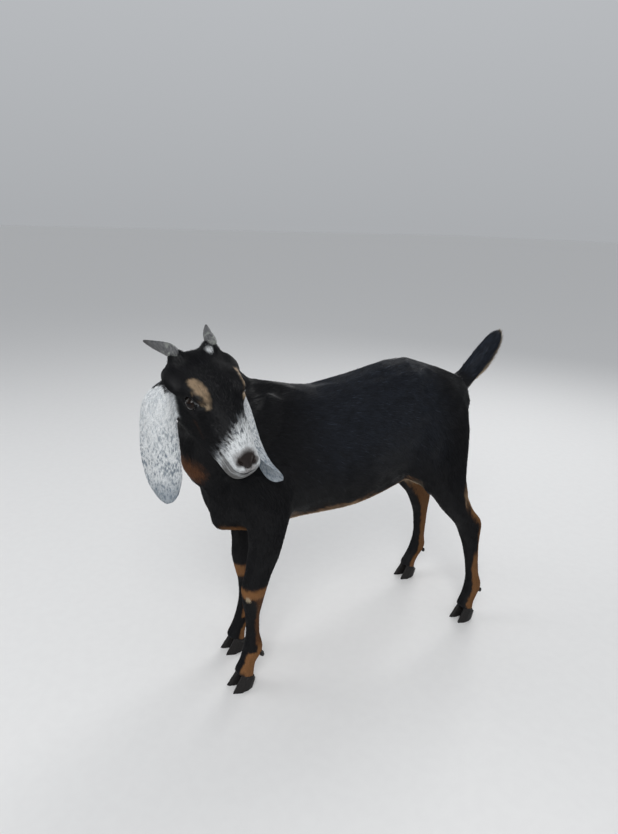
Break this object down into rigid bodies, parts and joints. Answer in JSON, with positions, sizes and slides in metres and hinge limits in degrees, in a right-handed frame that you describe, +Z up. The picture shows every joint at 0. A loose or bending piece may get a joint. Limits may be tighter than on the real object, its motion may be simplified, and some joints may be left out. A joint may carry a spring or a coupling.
{
  "type": "goat",
  "caption": "Young lop-eared dairy goat standing square, head turned back to its left, tail raised; black and tan coat with frosted ears and muzzle.",
  "frame": {"origin": "middle of the model's box on the floor that the hooves stand on", "axes": "-Y is the way the body faces, +X is the goat's left, +Z is up"},
  "size_m": [0.3688, 0.9878, 0.8128],
  "materials": {
    "hair_black": "short glossy hair",
    "hair_tan": "short hair",
    "hair_frosted": "fine short hair, grey specks",
    "horn": "dull ridged horn",
    "hoof": "dull horn",
    "eye": "wet and clear"
  },
  "bodies": {
    "root": {"trunk": "hair_black", "neck": "hair_black", "head": "hair_black", "tail": "hair_black", "eye_left": "eye", "eye_right": "eye", "ear_left": "hair_frosted", "ear_right": "hair_frosted", "horn_left": "horn", "horn_right": "horn", "fore_left_forearm": "hair_black", "fore_left_cannon": "hair_black", "fore_left_foot": "hair_tan", "fore_left_claw_left": "hoof", "fore_left_claw_right": "hoof", "fore_left_dewclaw_left": "hoof", "fore_left_dewclaw_right": "hoof", "fore_right_forearm": "hair_black", "fore_right_cannon": "hair_black", "fore_right_foot": "hair_tan", "fore_right_claw_left": "hoof", "fore_right_claw_right": "hoof", "fore_right_dewclaw_left": "hoof", "fore_right_dewclaw_right": "hoof", "hind_left_gaskin": "hair_black", "hind_left_cannon": "hair_black", "hind_left_foot": "hair_tan", "hind_left_claw_left": "hoof", "hind_left_claw_right": "hoof", "hind_left_dewclaw_left": "hoof", "hind_left_dewclaw_right": "hoof", "hind_right_gaskin": "hair_black", "hind_right_cannon": "hair_black", "hind_right_foot": "hair_tan", "hind_right_claw_left": "hoof", "hind_right_claw_right": "hoof", "hind_right_dewclaw_left": "hoof", "hind_right_dewclaw_right": "hoof"}
  },
  "joints": []
}
